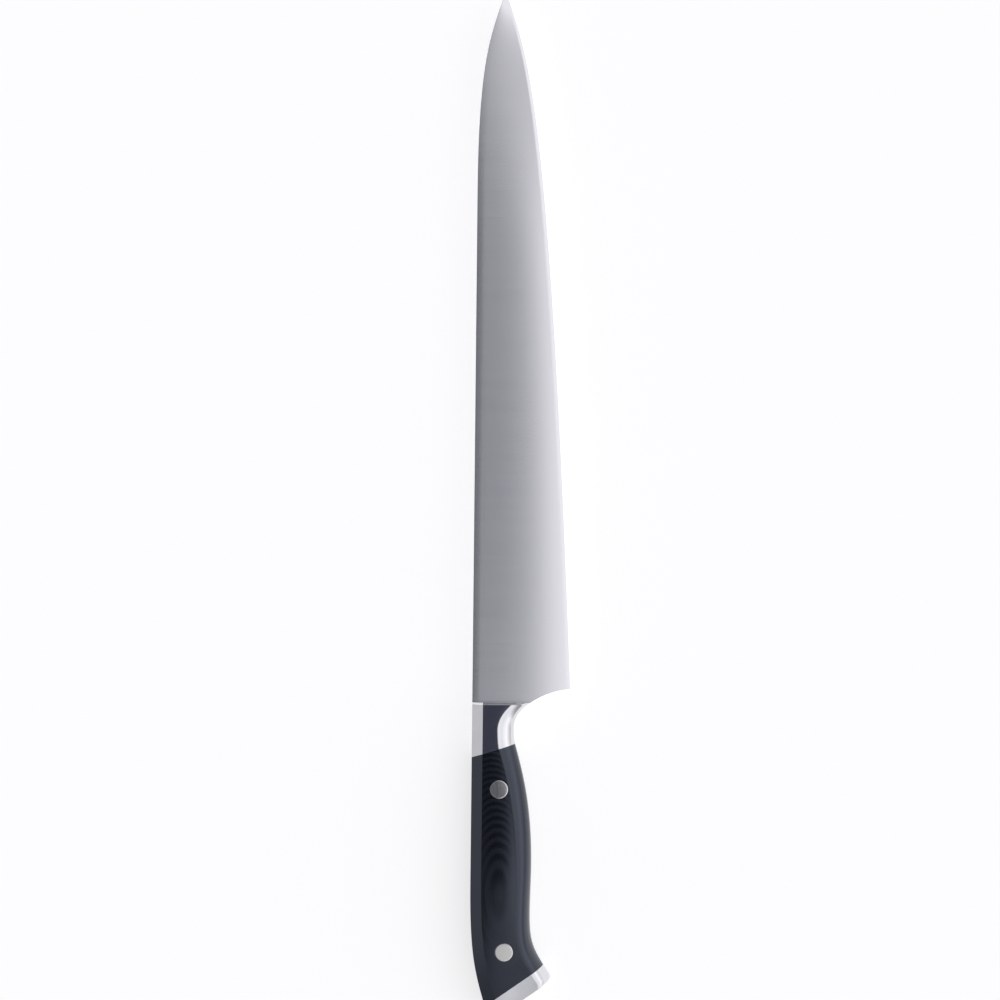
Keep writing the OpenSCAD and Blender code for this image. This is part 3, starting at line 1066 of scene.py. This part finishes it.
@dataclass(frozen=True)
class BladeGrind:
    """Thickness of the blade, in millimetres."""

    spine_t: float = 2.4
    tip_t: float = 1.0
    edge_t: float = 0.36
    bevel_w: float = 1.0
    shoulder_w: float = 3.0
    shoulder_d: float = 0.12
    keen_t: float = 0.06
    bevel_share: float = 0.3
    tip_slimness: float = 0.12
    edge_share: float = 0.6
    dip_share: float = 0.2
    power: float = 3.4
    flat_power: float = 1.3
    flat_from: float = 0.6
    flat_to: float = 0.93

    def flatness(self, x: Array) -> Array:
        """How far the grind has turned flat on its way to the tip, from 0 to 1, eased at both ends."""
        t = clamp01((x / PLAN.tip_x - self.flat_from) / (self.flat_to - self.flat_from))
        return t * t * (3 - 2 * t)

    def half(self, x: Array, w: Array) -> Array:
        """Half thickness at a plan place.

        It falls from the spine to the cutting bevel with a power of the share of the way, less a
        parabola's dip in the eased shoulder at the spine, and then straight to the keen edge.
        Towards the tip the power nears 1 and the shoulder runs out.

        Args:
            x: places ahead of the bolster's front face.
            w: places below the spine line.

        Returns:
            The half thickness at each place.
        """
        spine, edge = PLAN.spine_w(x), PLAN.edge_w(x)
        width = edge - spine
        bevel = np.minimum(self.bevel_w, width * self.bevel_share)
        slim = self.keen_t + width * self.tip_slimness
        top = np.minimum(mix(self.spine_t, self.tip_t, x / PLAN.tip_x) / 2, slim)
        low = np.minimum(self.edge_t / 2, top * self.edge_share)
        ease = np.minimum(self.shoulder_w, width * self.bevel_share)
        into = 1 - clamp01((w - spine) / ease)
        flat = self.flatness(x)
        dip = np.minimum(self.shoulder_d, top * self.dip_share) * (1 - flat) * into**2
        down = clamp01((w - spine) / (width - bevel))
        ground = mix(top, low, down ** mix(self.power, self.flat_power, flat)) - dip
        keen = mix(low, self.keen_t / 2, clamp01((w - edge + bevel) / bevel))
        return np.where(w > edge - bevel, keen, ground)


@dataclass(frozen=True)
class Blade:
    """Blade and full tang, one piece of steel."""

    grind: BladeGrind = BladeGrind()
    shoulder_columns: int = 8
    flat_columns: int = 40
    bevel_columns: int = 4
    choil_rows: int = 40
    blade_rows: int = 180
    crowding: float = 1.5

    def shares(self, stations: Stations) -> Array:
        """Shares of each station's length: close in the shoulder, even on the flat, close in the bevel.

        Args:
            stations: the lines across the blade.

        Returns:
            The shares, stations by columns.
        """
        width = (stations.belly - stations.spine)[:, 1:]
        ease = np.minimum(self.grind.shoulder_w, width * self.grind.bevel_share) / width
        bevel = 1 - np.minimum(self.grind.bevel_w, width * self.grind.bevel_share) / width
        shoulder = ease * np.linspace(0, 1, self.shoulder_columns + 1)[:-1]
        flat = mix(ease, bevel, np.linspace(0, 1, self.flat_columns + 1)[:-1])
        keen = mix(bevel, 1, np.linspace(0, 1, self.bevel_columns + 1))
        return np.hstack([shoulder, flat, keen])

    def stations(self) -> Stations:
        """Lines from the bolster's front face round the choil to the heel, and on to the tip.

        Returns:
            The stations, closer together towards the tip.
        """
        t = np.linspace(0, 1, CURVE_SAMPLES)
        along = cubic(PLAN.choil_curve.handles, t)
        root_t = np.interp(0.0, along[::-1, 0], t[::-1])
        share = np.linspace(0, 1, self.choil_rows + 1)[:-1]
        choil = cubic(PLAN.choil_curve.handles, root_t * (1 - share))
        behind_heel = np.stack([PLAN.heel_ahead * share, 0 * share], axis=-1)
        ahead = 1 - (1 - np.linspace(0, 1, self.blade_rows + 1)) ** self.crowding
        x = mix(PLAN.heel_ahead, PLAN.tip_x, ahead)
        spine = np.vstack([behind_heel, np.stack([x, PLAN.spine_w(x)], axis=-1)])
        edge = np.vstack([choil, np.stack([x, PLAN.edge_w(x)], axis=-1)])
        return Stations(spine, edge, np.zeros(len(spine)))

    @staticmethod
    def closed(plan: Array, half: Array) -> Array:
        """Rings over both faces: down the right face and back up the left one.

        Args:
            plan: plan points, stations by columns by 2.
            half: half thickness at each of them.

        Returns:
            Points in metres, stations by twice the columns by 3.
        """
        right = PLAN.place(plan[..., 0], plan[..., 1], half)
        left = PLAN.place(plan[..., 0], plan[..., 1], -half)
        return np.concatenate([right, left[:, ::-1]], axis=1)

    def build(self, finish: bpy.types.Material) -> None:
        """One solid from the butt to the tip.

        Args:
            finish: its material.
        """
        blade = self.stations()
        blade_plan = blade.at(self.shares(blade))
        blade_rings = self.closed(blade_plan, self.grind.half(blade_plan[..., 0], blade_plan[..., 1]))
        tang = tang_stations()
        even = np.tile(np.linspace(0, 1, blade_plan.shape[1]), (len(tang.spine), 1))
        tang_plan = tang.at(even)[::-1]
        tang_rings = self.closed(tang_plan, np.full(tang_plan.shape[:2], SECTION.tang_h))
        add_piece("blade_and_tang", np.concatenate([tang_rings, blade_rings]), finish, "blade")


@dataclass(frozen=True)
class Bolster:
    """Two polished bolster halves, bevelled where they meet the blade."""

    front_bevel: float = 0.9
    bevel_power: float = 1.3
    bevel_rows: int = 4
    rows: int = 44

    def stations(self) -> Stations:
        """Lines from the front face back to the scales.

        Returns:
            The stations, the first ones lowered by a power of their share of the bevel.
        """
        round_off = np.linspace(0, 1, self.bevel_rows + 1)[:-1]
        ease = self.front_bevel * (1 - round_off) ** self.bevel_power
        bevel_share = self.front_bevel / PLAN.bolster_l
        share = np.concatenate([round_off * bevel_share, np.linspace(bevel_share, 1, self.rows)])
        bevel = np.concatenate([ease, np.zeros(self.rows)])
        return Stations.between(-PLAN.bolster_l * share, -PLAN.bolster_belly_l * share, bevel)

    def build(self, finish: bpy.types.Material) -> None:
        """Both halves."""
        add_halves("bolster", "half", self.stations(), finish)


@dataclass(frozen=True)
class Grip:
    """Two laminate scales."""

    rows: int = 180

    def stations(self) -> Stations:
        """Lines from the bolster's seam back to the cap's.

        Returns:
            The stations.
        """
        cap_spine, cap_belly = PLAN.cap_seam
        share = np.linspace(0, 1, self.rows)
        return Stations.between(
            mix(-PLAN.bolster_l, cap_spine, share), mix(-PLAN.bolster_belly_l, cap_belly, share)
        )

    def build(self, finish: bpy.types.Material) -> None:
        """Both scales."""
        add_halves("scale", "smooth", self.stations(), finish)


@dataclass(frozen=True)
class ButtCap:
    """Two polished cap halves, with eased corners at the spine and at the hook."""

    rows: int = 16
    ease_rows: int = 12

    def stations(self) -> Stations:
        """Lines from the scales' seam back to the butt.

        Returns:
            The stations, of which the last ones follow both eased corners.
        """
        cap_spine, cap_belly = PLAN.cap_seam
        heel = np.array([-PLAN.handle_l, PLAN.butt_drop])
        hook = np.array(PLAN.hook)
        lean = tan(PLAN.butt_lean)
        along_butt = np.array([lean, 1.0]) / hypot(lean, 1.0)
        spine_turn = heel[0] + PLAN.heel_ease
        belly_turn = hook[0] + PLAN.hook_ease * cos(atan(PLAN.hook_slope))
        share = np.linspace(0, 1, self.rows)
        straight = Stations.between(mix(cap_spine, spine_turn, share), mix(cap_belly, belly_turn, share))
        spine = eased_corner(straight.spine[-1], heel, heel + PLAN.heel_ease * along_butt, self.ease_rows)
        belly = eased_corner(straight.belly[-1], hook, hook - PLAN.hook_ease * along_butt, self.ease_rows)
        return straight.then(Stations(spine, belly, np.zeros(self.ease_rows)))

    def build(self, finish: bpy.types.Material) -> None:
        """Both halves."""
        add_halves("butt_cap", "half", self.stations(), finish)


def tang_stations() -> Stations:
    """Joins the lines across the bolster, the scales and the cap.

    Returns:
        The stations from the bolster's front to the butt, each place once and none bevelled.
    """
    bolster = Bolster().stations()
    level = Stations(bolster.spine, bolster.belly, 0 * bolster.bevel)
    joined = level.then(Grip().stations()).then(ButtCap().stations())
    ends = np.hstack([joined.spine, joined.belly])
    keep = np.concatenate([[True], np.linalg.norm(np.diff(ends, axis=0), axis=1) > SAME_PLACE])
    return Stations(joined.spine[keep], joined.belly[keep], joined.bevel[keep])


@dataclass(frozen=True)
class Rivet:
    """A stud from the right and a sleeve from the left, each with a head ground flush.

    Attributes:
        name: which rivet it is.
        at: its middle, ahead of the bolster's front face and below the spine line.
    """

    name: str
    at: Point
    head_r: float = 3.475
    head_seat: float = 3.6
    sleeve_r: float = 2.25
    stud_r: float = 1.5
    core_r: float = 0.1
    sink: float = 1.2
    gap: float = 0.02
    end_gap: float = 0.1
    proud: float = 0.03
    rim: float = 0.08
    face_rings: int = 12
    face_from: float = 0.1
    rim_rings: int = 4
    turns: int = 96

    def rings(self, profile: Profile, side: Side) -> Array:
        """Turns a profile round the rivet's axis.

        Args:
            profile: radius, height and whether the height is above the handle's skin.
            side: the side that the head is on.

        Returns:
            Rings in metres, profile by turns by 3.
        """
        radius, height, follows = (np.array(column, float)[:, None] for column in zip(*profile))
        angle = np.linspace(0, 2 * pi, self.turns, endpoint=False)
        x = self.at[0] + radius * np.cos(angle)
        w = self.at[1] + radius * np.sin(angle)
        z = height + follows * SECTION.skin(x, w)
        return PLAN.place(x, w, side.value * z)

    def head(self) -> Profile:
        """Profile of the head from its middle, over a quarter circle's rim and down to its seat.

        Returns:
            The profile's points.
        """
        face_r = (self.head_r - self.rim) * np.linspace(self.face_from, 1, self.face_rings)
        turn = np.linspace(0, pi / 2, self.rim_rings + 1)[1:]
        rim_r = self.head_r - self.rim * (1 - np.sin(turn))
        rim_z = self.proud - self.rim * (1 - np.cos(turn))
        face = [(r, self.proud, True) for r in face_r]
        rim = [(r, z, True) for r, z in zip(rim_r, rim_z)]
        return face + rim + [(self.head_r, self.head_seat, False)]

    def build(self, finish: bpy.types.Material) -> None:
        """The stud and the sleeve that it is driven into.

        Args:
            finish: their material.
        """
        stud_end = self.end_gap - self.head_seat - self.sink
        sleeve_end = self.end_gap - self.head_seat
        bore = self.stud_r + self.gap
        bore_end = self.head_seat + self.sink
        stud = self.head() + [
            (self.stud_r, self.head_seat, False),
            (self.stud_r, stud_end, False),
            (self.core_r, stud_end, False),
        ]
        sleeve = self.head() + [
            (self.sleeve_r, self.head_seat, False),
            (self.sleeve_r, sleeve_end, False),
            (bore, sleeve_end, False),
            (bore, bore_end, False),
            (self.core_r, bore_end, False),
        ]
        for part, profile, side in (("stud", stud, Side.RIGHT), ("sleeve", sleeve, Side.LEFT)):
            node = f"{self.name}_{part}"
            add_piece(f"{node}_turned", self.rings(profile, side), finish, node)


@dataclass(frozen=True)
class HiddenPins:
    """Dowels inside the bolster and the cap, which keep their shape from the frame."""

    nodes: tuple[str, ...] = ("bolster_pins", "butt_cap_pins")

    def build(self, finish: bpy.types.Material) -> None:
        """Gives the dowels their finish.

        Args:
            finish: their material.
        """
        for name in self.nodes:
            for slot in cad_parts[name].material_slots:
                slot.material = finish
            log.info("%s: finished", name)


@dataclass(frozen=True)
class Studio:
    """Floor, soft light and camera.

    The light is a tent round the knife: dim on the spine's side, bright on the edge's side, with
    a dark oval opening overhead for the lens, which the polished flats mirror.

    Attributes:
        floor_size: side of the floor, in metres.
        floor_tone: linear colour of the floor.
        floor_rough: its roughness.
        floor_specular: how much it mirrors.
        floor_light: colour of the light that comes through it from below.
        floor_glow: how much of that there is.
        strength: brightness of a full-white part of the tent.
        bands: angle from overhead towards the edge's side, in degrees, with tone and coolness.
        full_to: how far along the knife the tent is fully lit, as the direction's x.
        ends_at: where its lit length ends, as the direction's x.
        end_share: share of the light beyond that.
        opening_at: how far the opening lies towards the tip and towards the edge, in degrees.
        opening_r: half length and half width of the opening, in degrees.
        opening_soft: share of those over which it fades.
        opening_tone: colour inside it.
        lens_height: height of the camera over the blade, in metres.
        view_w: width of the view at the blade, in metres.
        aim: where the view's middle falls, ahead of the bolster and below the spine, in millimetres.
        roll: turn of the view about its axis, in degrees.
        sensor: width of the camera's sensor, in millimetres.
    """

    floor_size: float = 6.0
    floor_tone: Colour = (0.55, 0.55, 0.56, 1.0)
    floor_rough: float = 0.9
    floor_specular: float = 0.1
    floor_light: Colour = (1.0, 1.0, 1.0, 1.0)
    floor_glow: float = 0.72
    strength: float = 1.35
    bands: tuple[tuple[float, float, float], ...] = (
        (-90, 0.40, 1.02), (-72, 0.47, 1.02), (-45, 0.25, 1.10), (-20, 0.08, 1.15), (-7, 0.09, 1.12),
        (0, 0.60, 1.04), (6, 0.75, 1.03), (14, 0.77, 1.02), (26, 0.73, 1.02), (38, 0.84, 1.02),
        (52, 0.97, 1.02), (64, 0.80, 1.02), (75, 0.62, 1.02), (90, 0.45, 1.02),
    )
    full_to: float = 0.3
    ends_at: float = 0.65
    end_share: float = 0.35
    opening_at: Point = (1.2, 0.0)
    opening_r: Point = (9.7, 5.5)
    opening_soft: float = 0.3
    opening_tone: Colour = (0.035, 0.038, 0.055, 1.0)
    lens_height: float = 1.38
    view_w: float = 0.388
    aim: Point = (78.5, 9.94)
    roll: float = -89.41
    sensor: float = 36.0

    def add_floor(self) -> None:
        """A wide pale floor under the knife."""
        half = self.floor_size / 2
        mesh = bpy.data.meshes.new("floor")
        corners = [(-half, -half, 0), (half, -half, 0), (half, half, 0), (-half, half, 0)]
        mesh.from_pydata(corners, [], [(0, 1, 2, 3)])
        mesh.materials.append(MaterialBoard("pale floor").dressed({
            "Base Color": self.floor_tone, "Roughness": self.floor_rough,
            "Specular IOR Level": self.floor_specular,
            "Emission Color": self.floor_light, "Emission Strength": self.floor_glow,
        }))
        floor = bpy.data.objects.new("floor", mesh)
        bpy.context.scene.collection.objects.link(floor)

    def across(self, board: Board, angle: Socket) -> Socket:
        """The tent's colour by its bands.

        Args:
            board: the world's tree.
            angle: a direction's angle from overhead towards the edge's side.

        Returns:
            The colour.
        """
        bands = board.add("ValToRGB", {"Fac": board.ranged(angle, -pi / 2, pi / 2)})
        ramp = bands.color_ramp
        ramp.interpolation = "EASE"
        for index, (degrees, tone, cool) in enumerate(self.bands):
            spot = (degrees + 90) / 180
            element = ramp.elements[index] if index < 2 else ramp.elements.new(spot)
            element.position = spot
            element.color = (tone, tone, min(tone * cool, 1.0), 1.0)
        return bands.outputs["Color"]

    def clear_of_opening(self, board: Board, angles: tuple[Socket, Socket]) -> Socket:
        """Share of the tent that shows: 0 inside the opening's ellipse and 1 outside.

        Args:
            board: the world's tree.
            angles: a direction's angles towards the tip and towards the edge.

        Returns:
            The share.
        """
        squares = []
        for angle, at, r in zip(angles, self.opening_at, self.opening_r):
            off = board.math("DIVIDE", board.math("SUBTRACT", angle, radians(at)), radians(r))
            squares.append(board.math("POWER", off, 2.0))
        away = board.math("SQRT", board.math("ADD", *squares))
        return board.ranged(away, 1 - self.opening_soft / 2, 1 + self.opening_soft / 2, smooth=True)

    def add_tent(self) -> None:
        """The world's light, worked out from the direction that it comes from."""
        world = bpy.data.worlds.new("light tent")
        world.use_nodes = True
        board = Board(world.node_tree)
        way = board.add("SeparateXYZ", {0: board.add("TexCoord").outputs["Generated"]}).outputs
        to_tip = board.math("ARCSINE", way["X"])
        to_edge = board.math("MULTIPLY", board.math("ARCSINE", way["Y"]), -1.0)
        clear = self.clear_of_opening(board, (to_tip, to_edge))
        colour = board.blend(clear, self.opening_tone, self.across(board, to_edge))
        beyond = board.math("ABSOLUTE", way["X"])
        lit = board.ranged(beyond, self.full_to, self.ends_at, 1.0, self.end_share, smooth=True)
        strength = board.math("MULTIPLY", lit, self.strength)
        light = board.add("Background", {"Color": colour, "Strength": strength})
        board.add("OutputWorld", {"Surface": light.outputs[0]})
        bpy.context.scene.world = world
        bpy.context.scene.view_settings.view_transform = "Standard"

    def add_camera(self) -> None:
        """A long lens straight over the blade, with the tip up in the picture."""
        camera = bpy.data.cameras.new("camera")
        camera.sensor_width = self.sensor
        camera.lens = self.sensor * self.lens_height / self.view_w
        view = bpy.data.objects.new("camera", camera)
        view.location = PLAN.place(self.aim[0], self.aim[1], self.lens_height / MM)
        view.rotation_euler = (0.0, 0.0, radians(self.roll))
        bpy.context.scene.collection.objects.link(view)
        bpy.context.scene.camera = view

    def build(self) -> None:
        """Everything round the knife."""
        self.add_camera()
        self.add_tent()
        self.add_floor()
        log.info("studio: built")


COOL = (0.985, 0.985, 1.02)
WARM = (1.02, 1.0, 0.965)

SATIN = BrushedFinish(
    name="satin steel", dark=grey(0.85, COOL), light=grey(0.87, COOL), smoothest=0.235, roughest=0.255,
    stretch=(1100.0, 30.0, 60.0), depth=0.001 * MM,
)
GROUND = BrushedFinish(
    name="ground dowel steel", dark=grey(0.5, COOL), light=grey(0.6, COOL), smoothest=0.3, roughest=0.42,
    stretch=(60.0, 60.0, 3000.0), depth=0.003 * MM,
)
FLUSH = BrushedFinish(
    name="flush rivet metal", dark=grey(0.76, WARM), light=grey(0.82, WARM), smoothest=0.12, roughest=0.19,
    stretch=(40.0, 1500.0, 60.0), depth=0.002 * MM,
)
POLISHED = PolishedFinish(
    name="polished steel", dark=grey(0.74, COOL), light=grey(0.8, COOL), smoothest=0.05, roughest=0.1,
    depth=0.0015 * MM,
)
LAMINATE = LaminateFinish(
    name="black linen laminate", resin=(0.0005, 0.0007, 0.0012, 1.0), cloth=(0.005, 0.0058, 0.0085, 1.0),
    thread=(0.0085, 0.0095, 0.0135, 1.0), smoothest=0.13, roughest=0.18, weave_depth=0.006 * MM,
    ior=1.8, sheen=(0.72, 0.8, 1.0, 1.0),
)


def main() -> None:
    """Builds the knife piece by piece, then the studio round it."""
    logging.basicConfig(level=logging.INFO, format="%(name)s: %(message)s")
    rivet_metal, polished = FLUSH.material(), POLISHED.material()
    Blade().build(SATIN.material())
    Bolster().build(polished)
    Grip().build(LAMINATE.material())
    ButtCap().build(polished)
    Rivet("front_rivet", PLAN.front_rivet).build(rivet_metal)
    Rivet("rear_rivet", PLAN.rear_rivet).build(rivet_metal)
    HiddenPins().build(GROUND.material())
    Studio().build()


if __name__ == "__main__":
    main()
